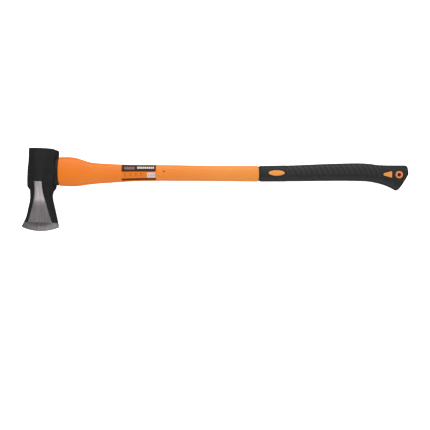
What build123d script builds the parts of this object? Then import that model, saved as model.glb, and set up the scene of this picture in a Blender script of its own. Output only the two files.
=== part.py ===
from build123d import *
import math
import os

# Splitting maul with a fibreglass handle, lying on its side. Millimetres.
# +X runs along the handle from the head to the butt, +Y towards the poll, +Z up out of the upper
# cheek. The origin is on the surface, under the middle of the tool's box.

# Whole tool
HALF_LENGTH = 449.0  # from the middle to the toe of the bit, and to the butt
MID_Z = 32.0  # height of the plane that halves the tool, which is the ridge's half thickness
HANDLE_Y = 38.9  # the eye's axis, from which the handle's rises and drops are measured
BODY_SPAN = 2 * MID_Z + 20.0  # taller than anything, for cutters that go right through

# Head. u runs along the eye towards the handle, v towards the poll, from the middle of the eye.
HEAD_X = -400.7
HANG_ANGLE = 2.3  # the bit leans this many degrees away from the handle
POLL_V = 56.4
POLL_NEAR = (31.6, POLL_V)  # its corner next to the handle
POLL_FAR = (-28.6, POLL_V)
POLL_EDGE = 1.4
EDGE_V = -135.4  # lowest point of the cutting edge
EDGE_U = -2.9  # and how far that point is from the middle, towards the toe
EDGE_RADIUS = 110.0
EDGE_HALF_THICKNESS = 0.35
BEVEL_REACH = 20.0  # the bevel's cone starts this far above the edge, clear of the cheeks
BEVEL_RISE = 7.2
CORNER_ROUND = 3.0
TOE = (-46.0, -126.8)
HEEL = (44.2, -126.2)
SIDE_MARGIN = 5.0  # the sections reach this far past the outline that trims them

# v, half width and half thickness of the flat ridge, half width and half thickness of the side
POLL_SECTIONS = (
    (POLL_V, 17.0, 25.5, 29.4, 17.5),
    (30.0, 12.8, 26.6, 29.4, 17.6),
    (8.0, 10.2, 29.4, 29.9, 18.0),
    (-20.5, 8.7, 32.0, 30.0, 18.0),
)
WEDGE_SECTIONS = (
    (-20.5, 8.7, 32.0, 30.0, 18.0),
    (-31.0, 8.7, 29.6, 29.2, 17.6),
    (-42.0, 9.3, 24.2, 22.6, 16.4),
    (-58.0, 12.5, 17.8, 22.8, 13.4),
    (-80.0, 17.3, 12.6, 28.0, 9.8),
    (-100.0, 23.2, 8.6, 34.0, 7.2),
    (EDGE_V - 2.0, 34.0, 2.6, 47.0, 2.4),
)

# Eye, which widens away from the handle, and the tongue that stands in it
EYE_HALF_LENGTH = 34.0
EYE_HEIGHT = 61.0
EYE_WIDTH = 28.0
EYE_FLARE = 1.0  # added to both at the far end, taken off at the handle's end
TONGUE_HEIGHT = 56.0
TONGUE_WIDTH = 22.5
TONGUE_END_X = -429.3
RESIN_FAR_U = -28.4
SEAL_U = 32.1  # just clear of the head's face, where resin and seal meet
SEAL_HEIGHT = 64.5
SEAL_WIDTH = 35.8
SEAL_RISE = 4.2  # the shoulder is not centred on the eye

# Handle. Each section has the X and rise of its top, the X and rise of its bottom, and its thickness.
SHOULDER_X = -361.5
SHAFT_END_X = 102.5
GRIP_START_X = 104.1
SHAFT_SECTIONS = (
    ((SHOULDER_X, 37.7), (SHOULDER_X, -29.2), 37.0),
    ((-346.5, 38.1), (-346.5, -30.0), 38.0),
    ((-331.5, 37.3), (-331.5, -30.4), 38.0),
    ((-317.5, 34.5), (-317.5, -29.7), 37.0),
    ((-303.5, 29.8), (-303.5, -27.8), 35.5),
    ((-289.5, 25.7), (-289.5, -26.0), 34.0),
    ((-270.5, 23.4), (-270.5, -24.0), 32.0),
    ((-243.5, 21.7), (-243.5, -22.3), 30.0),
    ((-208.5, 20.2), (-208.5, -19.7), 28.4),
    ((-168.5, 19.5), (-168.5, -18.1), 27.4),
    ((-118.5, 19.3), (-118.5, -17.7), 27.0),
    ((-68.5, 18.6), (-68.5, -17.9), 27.0),
    ((-18.5, 17.7), (-18.5, -18.2), 27.0),
    ((31.5, 17.3), (31.5, -18.7), 27.0),
    ((71.5, 17.3), (71.5, -19.2), 27.2),
    ((SHAFT_END_X, 17.4), (SHAFT_END_X, -19.5), 27.5),
)
GRIP_SECTIONS = (
    ((97.5, 17.5), (97.5, -19.5), 29.5),
    ((137.5, 17.9), (137.5, -19.4), 29.8),
    ((181.5, 18.9), (181.5, -19.2), 30.1),
    ((225.5, 20.7), (225.5, -18.7), 30.5),
    ((271.5, 22.5), (271.5, -18.3), 31.0),
    ((313.5, 23.6), (313.5, -18.3), 31.4),
    ((343.5, 23.7), (342.5, -18.9), 31.5),
    ((363.5, 22.2), (359.5, -19.9), 31.5),
    ((383.5, 19.6), (375.5, -22.7), 31.8),
    ((403.5, 18.5), (390.5, -26.2), 32.3),
    ((423.5, 18.4), (405.0, -31.3), 32.8),
    ((443.5, 18.4), (420.0, -39.0), 33.2),
    ((467.5, 18.6), (439.5, -50.5), 33.6),
)
BUTT_CORNER_RISE = -3.4  # where the upright end turns into the sloping end of the heel
BUTT_HEEL = (421.6, -49.3)
BUTT_BEND = 10.0
BUTT_ROUND = 5.0
OVAL_POWER = 2.3
OVAL_STEPS = 16
SHOULDER_ROUND = 3.5
STEP_ROUND = 1.2
GRIP_WALL = 3.0

# Fibreglass rod inside the handle
CORE_HEIGHT = 24.0
CORE_WIDTH = 15.0
CORE_END_X = 353.5

# Holes and windows
PIN_HOLE_AT = (-116.5, 3.3)
PIN_HOLE_RADIUS = 2.0
OVAL_WINDOW_AT = (143.9, -0.4)
OVAL_WINDOW_SIZE = (38.0, 14.6)
TAPER_WINDOW = ((390.4, -1.2), (390.4, -6.4), (410.0, -11.8), (410.0, 4.2))
TAPER_ROUND = 1.5
RING_AT = (426.4, -4.6)
RING_RADIUS = 8.9
RING_HALF_LENGTH = 16.0
HANG_HOLE_RADIUS = 4.0

# Label round the shaft
LABEL_SPAN_X = (-214.2, -135.1)
LABEL_THICKNESS = 0.3
LABEL_GAP = 2.0

HANG = math.radians(HANG_ANGLE)
HEAD = Plane(
    origin=(HEAD_X, HANDLE_Y, MID_Z),
    x_dir=(math.cos(HANG), -math.sin(HANG), 0.0),
    z_dir=(0.0, 0.0, 1.0),
)


def on_handle(x, rise):
    """X and Y of a point from its X and its rise above the eye's axis."""
    return (x, HANDLE_Y + rise)


def head_point(u, v):
    """Point of the tool's middle plane from the head's own u and v."""
    return HEAD.from_local_coords(Vector(u, v, 0.0))


def oval(plane, height, thickness):
    """Closed superellipse on the plane, its height along the plane's x."""
    points = []
    for step in range(OVAL_STEPS):
        angle = math.tau * step / OVAL_STEPS
        along, across = math.cos(angle), math.sin(angle)
        points.append((
            math.copysign(abs(along) ** (2 / OVAL_POWER), along) * height / 2,
            math.copysign(abs(across) ** (2 / OVAL_POWER), across) * thickness / 2,
        ))
    with BuildSketch(plane) as outline:
        with BuildLine():
            Spline(*points, periodic=True)
        make_face()
    return outline.sketch


def straight_oval(x, height, thickness, rise=0.0):
    """Oval square to X, its height along Y."""
    middle = (*on_handle(x, rise), MID_Z)
    return oval(Plane(middle, x_dir=(0, 1, 0), z_dir=(1, 0, 0)), height, thickness)


def handle_section(top, bottom, thickness, inset=0.0):
    """Cross-section of the handle, square to the line between its top and bottom points."""
    top = Vector(*on_handle(*top), MID_Z)
    bottom = Vector(*on_handle(*bottom), MID_Z)
    up = (top - bottom).normalized()
    plane = Plane((top + bottom) / 2, x_dir=up, z_dir=up.cross(Vector(0, 0, 1)))
    return oval(plane, (top - bottom).length - 2 * inset, thickness - 2 * inset)


def grip_form(inset):
    """The butt end of the handle, made smaller all over by the inset."""
    end_x = HALF_LENGTH - inset
    corner = on_handle(end_x, BUTT_CORNER_RISE)
    heel = on_handle(BUTT_HEEL[0] - inset, BUTT_HEEL[1])
    with BuildPart() as form:
        loft([handle_section(*section, inset) for section in GRIP_SECTIONS])
        with BuildSketch(Plane.XY.offset(-10.0)):
            with BuildLine():
                FilletPolyline((end_x, 120.0), corner, heel, radius=BUTT_BEND)
                Polyline(heel, (heel[0], -50.0), (0.0, -50.0), (0.0, 120.0), (end_x, 120.0))
            make_face()
        extrude(amount=BODY_SPAN, mode=Mode.INTERSECT)
        rim = edges().filter_by(lambda edge: edge.bounding_box().min.X > heel[0] - 15.0)
        fillet(rim, BUTT_ROUND - inset)
    return form.part


def head_section(v, ridge_width, ridge_thickness, side_width, side_thickness):
    """Eight-sided section of the head, its sloping flanks carried on past the outline."""
    slope = (ridge_thickness - side_thickness) / (side_width - ridge_width)
    far_width = side_width + SIDE_MARGIN
    far_thickness = side_thickness - slope * SIDE_MARGIN
    corners = (
        (ridge_width, ridge_thickness),
        (far_width, far_thickness),
        (far_width, -far_thickness),
        (ridge_width, -ridge_thickness),
        (-ridge_width, -ridge_thickness),
        (-far_width, -far_thickness),
        (-far_width, far_thickness),
        (-ridge_width, ridge_thickness),
    )
    with BuildSketch(Plane(head_point(0, v), x_dir=HEAD.x_dir, z_dir=HEAD.y_dir)) as outline:
        with BuildLine():
            Polyline(*corners, close=True)
        make_face()
    return outline.sketch


def eye_plane(u):
    """Plane square to the eye's axis, its x along the head's v."""
    return Plane(head_point(u, 0), x_dir=HEAD.y_dir, z_dir=HEAD.x_dir)


def eye_section(u):
    """Section of the eye, a little larger away from the handle."""
    flare = -EYE_FLARE * u / EYE_HALF_LENGTH
    return oval(eye_plane(u), EYE_HEIGHT + flare, EYE_WIDTH + flare)


# The eye as a solid plug, cut from the head and filled with resin
with BuildPart() as eye_plug:
    loft([eye_section(u) for u in (-EYE_HALF_LENGTH, EYE_HALF_LENGTH)])

# Head: the sections give the thickness, the outline trims the sides, then eye and bevels are cut
with BuildPart() as head:
    loft([head_section(*section) for section in POLL_SECTIONS], ruled=True)
    loft([head_section(*section) for section in WEDGE_SECTIONS])
    with BuildSketch(HEAD.offset(-BODY_SPAN / 2)):
        with BuildLine():
            Polyline((0, POLL_V), POLL_NEAR, (POLL_NEAR[0], 22.0))
            Spline((POLL_NEAR[0], 22.0), (31.5, -6.0), (29.2, -29.0))
            Polyline((29.2, -29.0), (28.4, -34.5), (22.6, -42.5))
            Spline((22.6, -42.5), (21.6, -51.0), (23.4, -60.0), (26.2, -69.0), (32.0, -87.0), HEEL)
            ThreePointArc(HEEL, (EDGE_U, EDGE_V), TOE)
            Spline(TOE, (-34.6, -107.0), (-28.6, -86.0), (-22.7, -52.0), (-22.8, -42.0))
            Polyline((-22.8, -42.0), (-28.0, -34.5), (-29.4, -30.5))
            Spline((-29.4, -30.5), (-30.0, -6.0), (-29.6, 14.0), (POLL_FAR[0], 27.0))
            Polyline((POLL_FAR[0], 27.0), POLL_FAR, (0, POLL_V))
        make_face()
        fillet(vertices().sort_by(Axis.Y)[:2], CORNER_ROUND)
    extrude(amount=BODY_SPAN, mode=Mode.INTERSECT)
    chamfer(faces().sort_by(Axis(HEAD.origin, HEAD.y_dir))[-1].edges(), POLL_EDGE)
    add(eye_plug.part, mode=Mode.SUBTRACT)
    for side in (-1, 1):
        with BuildSketch(eye_plane(EDGE_U)):
            with BuildLine():
                Polyline(
                    (EDGE_V, side * EDGE_HALF_THICKNESS),
                    (EDGE_V + BEVEL_REACH, side * (EDGE_HALF_THICKNESS + BEVEL_RISE)),
                    (EDGE_V + BEVEL_REACH, side * 2 * BEVEL_RISE),
                    (EDGE_V - BEVEL_REACH, side * 2 * BEVEL_RISE),
                    (EDGE_V - BEVEL_REACH, side * EDGE_HALF_THICKNESS),
                    close=True,
                )
            make_face()
        revolve(axis=Axis(head_point(EDGE_U, EDGE_V + EDGE_RADIUS), (0, 0, 1)), mode=Mode.SUBTRACT)
head.part.label = "head"

# Fibreglass rod from the far end of the tongue almost to the butt
with BuildPart() as fibreglass_core:
    extrude(straight_oval(TONGUE_END_X, CORE_HEIGHT, CORE_WIDTH), CORE_END_X - TONGUE_END_X)
fibreglass_core.part.label = "fibreglass_core"

# Tongue of the jacket, which stands in the eye
with BuildPart() as tongue_form:
    extrude(straight_oval(TONGUE_END_X, TONGUE_HEIGHT, TONGUE_WIDTH), SHOULDER_X + 1.0 - TONGUE_END_X)

# Whole outer form of the gripped end, which the grip and the windows share
with BuildPart() as grip_body:
    add(grip_form(0.0))
    split(bisect_by=Plane((GRIP_START_X, 0, 0), x_dir=(0, 1, 0), z_dir=(1, 0, 0)), keep=Keep.TOP)

# Oval, taper and ring that stand up through the grip, on both sides
with BuildPart() as windows:
    with BuildSketch(Plane.XY):
        with Locations(on_handle(*OVAL_WINDOW_AT)):
            Ellipse(OVAL_WINDOW_SIZE[0] / 2, OVAL_WINDOW_SIZE[1] / 2)
        with BuildLine():
            Polyline(*[on_handle(*corner) for corner in TAPER_WINDOW], close=True)
        make_face()
        fillet(vertices().filter_by(lambda point: point.X > TAPER_WINDOW[0][0] - 1), TAPER_ROUND)
    extrude(amount=2 * MID_Z)
    add(grip_body.part, mode=Mode.INTERSECT)
    with BuildSketch(Plane.XY.offset(MID_Z - RING_HALF_LENGTH)):
        with Locations(on_handle(*RING_AT)):
            Circle(RING_RADIUS)
    extrude(amount=2 * RING_HALF_LENGTH)

# Orange jacket: tongue, shoulder, shaft, the body under the grip, and the windows
with BuildPart() as handle_jacket:
    loft([handle_section(*section) for section in SHAFT_SECTIONS])
    fillet(edges().sort_by(Axis.X)[0], SHOULDER_ROUND)
    fillet(edges().sort_by(Axis.X)[-1], STEP_ROUND)
    add(grip_form(GRIP_WALL))
    add(tongue_form.part)
    add(windows.part)
    with BuildSketch(Plane.XY):
        with Locations(on_handle(*PIN_HOLE_AT)):
            Circle(PIN_HOLE_RADIUS)
        with Locations(on_handle(*RING_AT)):
            Circle(HANG_HOLE_RADIUS)
    extrude(amount=2 * MID_Z, mode=Mode.SUBTRACT)
    add(fibreglass_core.part, mode=Mode.SUBTRACT)
handle_jacket.part.label = "handle_jacket"

# Black grip moulded over the jacket
with BuildPart() as grip_sleeve:
    add(grip_body.part)
    with BuildSketch(Plane.XY):
        with Locations(on_handle(*RING_AT)):
            Circle(RING_RADIUS)
    extrude(amount=2 * MID_Z, mode=Mode.SUBTRACT)
    add(handle_jacket.part, mode=Mode.SUBTRACT)
    add(fibreglass_core.part, mode=Mode.SUBTRACT)
grip_sleeve.part.label = "grip_sleeve"

# Resin cast between the tongue and the eye
with BuildPart() as eye_resin:
    add(eye_plug.part)
    split(bisect_by=eye_plane(RESIN_FAR_U), keep=Keep.TOP)
    split(bisect_by=eye_plane(SEAL_U), keep=Keep.BOTTOM)
    add(tongue_form.part, mode=Mode.SUBTRACT)
eye_resin.part.label = "eye_resin"

# Rubber ring squeezed between the head and the shoulder
with BuildPart() as eye_seal:
    extrude(straight_oval(HEAD_X, SEAL_HEIGHT, SEAL_WIDTH, SEAL_RISE), SHOULDER_X - HEAD_X)
    split(bisect_by=eye_plane(SEAL_U), keep=Keep.TOP)
    add(tongue_form.part, mode=Mode.SUBTRACT)
eye_seal.part.label = "eye_seal"

# Printed label wrapped round the shaft, its ends not quite meeting underneath
with BuildPart() as label:
    loft([handle_section(*section, -LABEL_THICKNESS) for section in SHAFT_SECTIONS])
    middle_x = sum(LABEL_SPAN_X) / 2
    with BuildSketch(Plane.XY.offset(-10.0)):
        with Locations((middle_x, HANDLE_Y)):
            Rectangle(LABEL_SPAN_X[1] - LABEL_SPAN_X[0], 2 * BODY_SPAN)
    extrude(amount=BODY_SPAN, mode=Mode.INTERSECT)
    with BuildSketch(Plane.XY):
        with Locations((middle_x, HANDLE_Y)):
            Rectangle(BODY_SPAN, LABEL_GAP)
    extrude(amount=MID_Z, mode=Mode.SUBTRACT)
    add(handle_jacket.part, mode=Mode.SUBTRACT)
    add(fibreglass_core.part, mode=Mode.SUBTRACT)
label.part.label = "label"

os.makedirs("parts", exist_ok=True)
export_step(head.part, "parts/head.step")
export_step(fibreglass_core.part, "parts/fibreglass_core.step")
export_step(handle_jacket.part, "parts/handle_jacket.step")
export_step(grip_sleeve.part, "parts/grip_sleeve.step")
export_step(eye_resin.part, "parts/eye_resin.step")
export_step(eye_seal.part, "parts/eye_seal.step")
export_step(label.part, "parts/label.step")
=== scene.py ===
import math
import bmesh
import bpy
import numpy as np
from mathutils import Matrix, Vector, noise
from mathutils.bvhtree import BVHTree


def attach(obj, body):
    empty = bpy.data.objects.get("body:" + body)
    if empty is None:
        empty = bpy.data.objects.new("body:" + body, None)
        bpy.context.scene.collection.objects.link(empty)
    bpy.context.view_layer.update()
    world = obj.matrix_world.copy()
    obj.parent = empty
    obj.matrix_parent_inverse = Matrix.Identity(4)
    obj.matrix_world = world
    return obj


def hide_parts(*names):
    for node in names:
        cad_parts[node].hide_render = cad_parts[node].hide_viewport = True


# Splitting maul lying on its side. Sizes are in millimetres until a mesh is made, which is in metres.
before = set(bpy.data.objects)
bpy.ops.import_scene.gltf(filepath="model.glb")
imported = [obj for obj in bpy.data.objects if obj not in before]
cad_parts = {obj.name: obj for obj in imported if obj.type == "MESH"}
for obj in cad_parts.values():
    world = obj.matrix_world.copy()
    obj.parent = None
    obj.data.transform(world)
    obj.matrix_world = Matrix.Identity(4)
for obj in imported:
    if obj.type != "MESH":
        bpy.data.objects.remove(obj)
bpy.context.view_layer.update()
MM = 0.001

# ---------------------------------------------------------------- sizes shared with the CAD model

MID_Z = 32.0
HANDLE_Y = 38.9
HEAD_X = -400.7
HANG = math.radians(2.3)

SHOULDER_X = -361.5
SHAFT_END_X = 102.5
COLLAR_X = 101.5
LIP_X = 106.4
BUTT_X = 449.0
BUTT_CORNER_RISE = -3.4
BUTT_HEEL = (421.6, -49.3)
BUTT_SLOPE = (BUTT_X - BUTT_HEEL[0]) / (BUTT_CORNER_RISE - BUTT_HEEL[1])
BUTT_ROUND = 5.0
OVAL_POWER = 2.3

# X, rise of the top above the eye's axis, rise of the bottom, thickness
SHAFT = np.array((
    (SHOULDER_X, 37.7, -29.2, 37.0), (-346.5, 38.1, -30.0, 38.0), (-331.5, 37.3, -30.4, 38.0),
    (-317.5, 34.5, -29.7, 37.0), (-303.5, 29.8, -27.8, 35.5), (-289.5, 25.7, -26.0, 34.0),
    (-270.5, 23.4, -24.0, 32.0), (-243.5, 21.7, -22.3, 30.0), (-208.5, 20.2, -19.7, 28.4),
    (-168.5, 19.5, -18.1, 27.4), (-118.5, 19.3, -17.7, 27.0), (-68.5, 18.6, -17.9, 27.0),
    (-18.5, 17.7, -18.2, 27.0), (31.5, 17.3, -18.7, 27.0), (71.5, 17.3, -19.2, 27.2),
    (SHAFT_END_X, 17.4, -19.5, 27.5),
))
# X and rise of the top, X and rise of the bottom, thickness
GRIP = np.array((
    (97.5, 17.5, 97.5, -19.5, 29.5), (137.5, 17.9, 137.5, -19.4, 29.8),
    (181.5, 18.9, 181.5, -19.2, 30.1), (225.5, 20.7, 225.5, -18.7, 30.5),
    (271.5, 22.5, 271.5, -18.3, 31.0), (313.5, 23.6, 313.5, -18.3, 31.4),
    (343.5, 23.7, 342.5, -18.9, 31.5), (363.5, 22.2, 359.5, -19.9, 31.5),
    (383.5, 19.6, 375.5, -22.7, 31.8), (403.5, 18.5, 390.5, -26.2, 32.3),
    (423.5, 18.4, 405.0, -31.3, 32.8), (443.5, 18.4, 420.0, -39.0, 33.2),
    (467.5, 18.6, 439.5, -50.5, 33.6),
))

PIN_AT = (-116.5, 3.3)
OVAL_AT = (143.9, -0.4)
OVAL_SIZE = (37.6, 13.0)
TAPER = ((390.4, -1.2), (390.4, -6.4), (410.0, -11.8), (410.0, 4.2))
GROOVE = 1.2  # dark gap round the windows
RING_AT = (426.4, -4.6)
RING_RADIUS = 8.9
HOLE_RADIUS = 4.0
LABEL_X = (-214.2, -135.1)
TONGUE_X = -429.3
TONGUE_SIZE = (56.0, 22.5)
CORE_SIZE = (24.0, 15.0)
EYE_SIZE = (61.0, 28.0)
NEAR_U = 31.6  # the head's straight side by the handle
EDGE_V = -135.4
SEAL_SIZE = (64.5, 35.8)
SEAL_RISE = 4.2

# v along the head (towards the poll), half width of the ridge, its half thickness, the sides' half thickness
POLL_TABLE = np.array((
    (56.4, 15.5, 26.9, 17.5), (30.0, 12.6, 28.3, 17.6), (8.0, 10.2, 30.3, 18.0),
    (-20.5, 8.7, 32.0, 18.0),
))
WEDGE_TABLE = np.array((
    (-20.5, 8.7, 32.0, 18.0), (-31.0, 8.7, 28.2, 17.6), (-42.0, 9.3, 24.2, 16.4),
    (-54.0, 11.4, 19.8, 14.2), (-66.5, 14.2, 15.4, 11.8), (-78.0, 16.8, 12.5, 10.0),
    (-100.0, 23.2, 8.4, 7.2), (-136.1, 34.0, 2.6, 2.4),
))
NEAR_SIDE = np.array((
    (56.4, 28.8), (55.0, 30.4), (52.8, 31.4), (49.0, NEAR_U), (22.0, NEAR_U), (-6.0, 31.5),
    (-29.0, 29.2), (-34.5, 28.0), (-42.5, 22.6), (-51.0, 21.6), (-60.0, 23.4), (-69.0, 26.2),
    (-87.0, 32.0), (-126.2, 44.2),
))
FAR_SIDE = np.array((
    (56.4, 28.6), (27.0, 28.6), (14.0, 29.6), (-6.0, 30.0), (-30.5, 29.4), (-34.5, 28.0),
    (-42.0, 22.8), (-52.0, 22.7), (-86.0, 28.6), (-107.0, 34.6), (-126.8, 45.6),
))
FACET_TOP_V = -20.5
PAINT_END_V = -114.5
POLL_V = 56.4
TOE = (-45.6, -126.8)
HEEL = (44.2, -126.2)
EDGE_CENTRE = (-2.9, -25.4)
EDGE_RADIUS = 110.0
EDGE_HALF = 0.35
BEVEL_SLOPE = 0.36
BEVEL_BLEND = 0.5

# ---------------------------------------------------------------- numbers


def cubic(table, at):
    """Natural cubic spline through the table's columns, by its first column."""
    x, y = table[:, 0], table[:, 1:]
    h = np.diff(x)[:, None]
    n = len(x)
    matrix = np.eye(n)
    right = np.zeros((n, y.shape[1]))
    for i in range(1, n - 1):
        matrix[i, i - 1:i + 2] = h[i - 1, 0], 2 * (h[i - 1, 0] + h[i, 0]), h[i, 0]
        right[i] = 6 * ((y[i + 1] - y[i]) / h[i] - (y[i] - y[i - 1]) / h[i - 1])
    bend = np.linalg.solve(matrix, right)
    at = np.atleast_1d(np.clip(at, x[0], x[-1]))
    k = np.clip(np.searchsorted(x, at) - 1, 0, n - 2)
    before, after = (at - x[k])[:, None], (x[k + 1] - at)[:, None]
    step = h[k]
    return (
        (bend[k] * after ** 3 + bend[k + 1] * before ** 3) / (6 * step)
        + (y[k] / step - bend[k] * step / 6) * after
        + (y[k + 1] / step - bend[k + 1] * step / 6) * before
    )


def monotone(table, at):
    """Smooth curve through the table's columns that never overshoots. The first column falls."""
    table = table[::-1]
    x, y = table[:, 0], table[:, 1:]
    h = np.diff(x)[:, None]
    slope = np.diff(y, axis=0) / h
    same = slope[:-1] * slope[1:] > 0
    mean = 2 * slope[:-1] * slope[1:] / np.where(same, slope[:-1] + slope[1:], 1.0)
    tangent = np.vstack((slope[:1], np.where(same, mean, 0.0), slope[-1:]))
    at = np.atleast_1d(np.clip(at, x[0], x[-1]))
    k = np.clip(np.searchsorted(x, at) - 1, 0, len(x) - 2)
    step = h[k]
    t = ((at - x[k])[:, None]) / step
    return (
        y[k] * (1 + 2 * t) * (1 - t) ** 2 + tangent[k] * step * t * (1 - t) ** 2
        + y[k + 1] * t * t * (3 - 2 * t) + tangent[k + 1] * step * t * t * (t - 1)
    )


def ease(low, high, value):
    """0 below low, 1 above high, smooth between."""
    t = np.clip((value - low) / (high - low), 0.0, 1.0)
    return t * t * (3 - 2 * t)


def quarter(radius, steps):
    """(distance from the end face, inset) round a rim, from the face to the body."""
    angles = np.linspace(0, math.pi / 2, steps)
    return [(radius * (1 - math.cos(a)), radius * (1 - math.sin(a))) for a in angles]


def oval_fractions(per_side, seam=()):
    """Places round an oval as fractions of its girth, from the top, even but for the seam lines."""
    half = [(k + 0.5) / per_side / 2 for k in range(per_side)]
    close = [s for s in seam] + [0.5 - s for s in seam]
    half = sorted([f for f in half if all(abs(f - c) > 0.004 for c in close)] + close)
    return np.array([0.0] + half + [0.5] + [1 - f for f in half[::-1]])


def unit_oval(fractions, height=38.0, thickness=29.0):
    """(along, across), each from -1 to 1, of a superellipse at fractions of its girth."""
    angle = np.linspace(0, math.tau, 8001)
    along = np.sign(np.cos(angle)) * np.abs(np.cos(angle)) ** (2 / OVAL_POWER)
    across = np.sign(np.sin(angle)) * np.abs(np.sin(angle)) ** (2 / OVAL_POWER)
    steps = np.hypot(np.diff(along) * height, np.diff(across) * thickness)
    run = np.concatenate(([0.0], np.cumsum(steps)))
    run /= run[-1]
    return np.interp(fractions, run, along), np.interp(fractions, run, across)


def oval_normal(along, across, height, thickness):
    """Outward direction of the superellipse, in its own plane."""
    a = np.sign(along) * np.abs(along) ** (OVAL_POWER - 1) / height
    b = np.sign(across) * np.abs(across) ** (OVAL_POWER - 1) / thickness
    size = np.hypot(a, b)
    return a / size, b / size


# ---------------------------------------------------------------- meshes


def grid_faces(rows, columns, first=0, closed=True):
    """Quads between rows of points. Each row is closed on itself, as in a tube, or open."""
    i = np.arange(rows - 1)[:, None]
    j = np.arange(columns if closed else columns - 1)[None, :]
    after = (j + 1) % columns
    quads = (i * columns + j, i * columns + after, (i + 1) * columns + after, (i + 1) * columns + j)
    return [tuple(quad) for quad in (np.stack(quads, -1).reshape(-1, 4) + first).tolist()]


def make_mesh(name, parts, sharp=35.0, outward=True, slots=None):
    """One mesh from (points, faces) parts in millimetres, smooth but for edges over the sharp angle."""
    points, faces = [], []
    for part_points, part_faces in parts:
        faces += [[i + len(points) for i in face] for face in part_faces]
        points += [tuple(p) for p in np.asarray(part_points, float).reshape(-1, 3) * MM]
    mesh = bpy.data.meshes.new(name)
    mesh.from_pydata(points, [], faces)
    if slots is not None:
        mesh.polygons.foreach_set("material_index", np.asarray(slots, np.int32))
    work = bmesh.new()
    work.from_mesh(mesh)
    bmesh.ops.remove_doubles(work, verts=work.verts, dist=2e-6)
    if outward:
        bmesh.ops.recalc_face_normals(work, faces=work.faces)
    work.to_mesh(mesh)
    work.free()
    mesh.shade_smooth()
    mesh.set_sharp_from_angle(angle=math.radians(sharp))
    return mesh


def vertex_places(mesh):
    """The mesh's vertices in metres, one row each."""
    flat = np.zeros(len(mesh.vertices) * 3)
    mesh.vertices.foreach_get("co", flat)
    return flat.reshape(-1, 3)


def keep_values(mesh, name, values):
    """Stores a number for each vertex, which the mesh's material reads."""
    attribute = mesh.attributes.new(name, "FLOAT", "POINT")
    attribute.data.foreach_set("value", np.asarray(values, np.float32))


def linked(name, data):
    """A new object in the scene."""
    thing = bpy.data.objects.new(name, data)
    bpy.context.scene.collection.objects.link(thing)
    return thing


def add_piece(name, mesh, node, materials):
    """An object that stands for a CAD node and rides on the one body."""
    piece = linked(name, mesh)
    for material in materials:
        mesh.materials.append(material)
    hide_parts(node)
    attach(piece, "root")
    return piece


def cut(piece, cutters):
    """Takes the cutters' meshes out of the piece for good."""
    for mesh in cutters:
        tool = linked("cutter", mesh)
        change = piece.modifiers.new("cut", "BOOLEAN")
        change.operation = "DIFFERENCE"
        change.solver = "EXACT"
        change.object = tool
        bpy.context.view_layer.update()
        graph = bpy.context.evaluated_depsgraph_get()
        made = bpy.data.meshes.new_from_object(piece.evaluated_get(graph))
        old = piece.data
        piece.modifiers.clear()
        piece.data = made
        made.name = old.name
        bpy.data.objects.remove(tool)
    piece.data.set_sharp_from_angle(angle=math.radians(32.0))


def prism(name, outline, low, high, slot=0):
    """Closed upright prism of an (x, y) outline, for cutting. Its walls take the slot's material."""
    count = len(outline)
    points = [(x, y, low) for x, y in outline] + [(x, y, high) for x, y in outline]
    faces = [(i, (i + 1) % count, count + (i + 1) % count, count + i) for i in range(count)]
    faces += [tuple(range(count))[::-1], tuple(range(count, 2 * count))]
    mesh = make_mesh(name, [(points, faces)], slots=[slot] * len(faces))
    for _ in range(slot + 1):
        mesh.materials.append(BORE_PAINTED_SHADE)
    return mesh


def circle(x, rise, radius, count=48):
    """Outline of a circle on the handle."""
    return ellipse(x, rise, 2 * radius, 2 * radius, count)


def ellipse(x, rise, width, height, count=72):
    """Outline of an ellipse on the handle."""
    angles = np.linspace(0, math.tau, count, endpoint=False)
    return np.stack((
        x + width / 2 * np.cos(angles), HANDLE_Y + rise + height / 2 * np.sin(angles)), -1)


def rounded(corners, radius, steps=7):
    """Outline of a polygon on the handle with rounded corners, evenly walked."""
    corners = np.array(corners) + (0.0, HANDLE_Y)
    outline = []
    for i, corner in enumerate(corners):
        back = corners[i - 1] - corner
        ahead = corners[(i + 1) % len(corners)] - corner
        back, ahead = back / np.linalg.norm(back), ahead / np.linalg.norm(ahead)
        half = math.acos(np.clip(back @ ahead, -1, 1)) / 2
        reach = radius / math.tan(half)
        centre = corner + (back + ahead) / np.linalg.norm(back + ahead) * radius / math.sin(half)
        start, stop = corner + back * reach - centre, corner + ahead * reach - centre
        turn = math.atan2(start[0] * stop[1] - start[1] * stop[0], start @ stop)
        for step in range(steps):
            a = turn * step / (steps - 1)
            outline.append(centre + (
                start[0] * math.cos(a) - start[1] * math.sin(a),
                start[0] * math.sin(a) + start[1] * math.cos(a)))
    walked = []
    for i, point in enumerate(outline):
        step = outline[(i + 1) % len(outline)] - point
        parts = max(1, int(np.linalg.norm(step) / 1.0))
        walked += [point + step * k / parts for k in range(parts)]
    return np.array(walked)


# ---------------------------------------------------------------- materials


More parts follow.
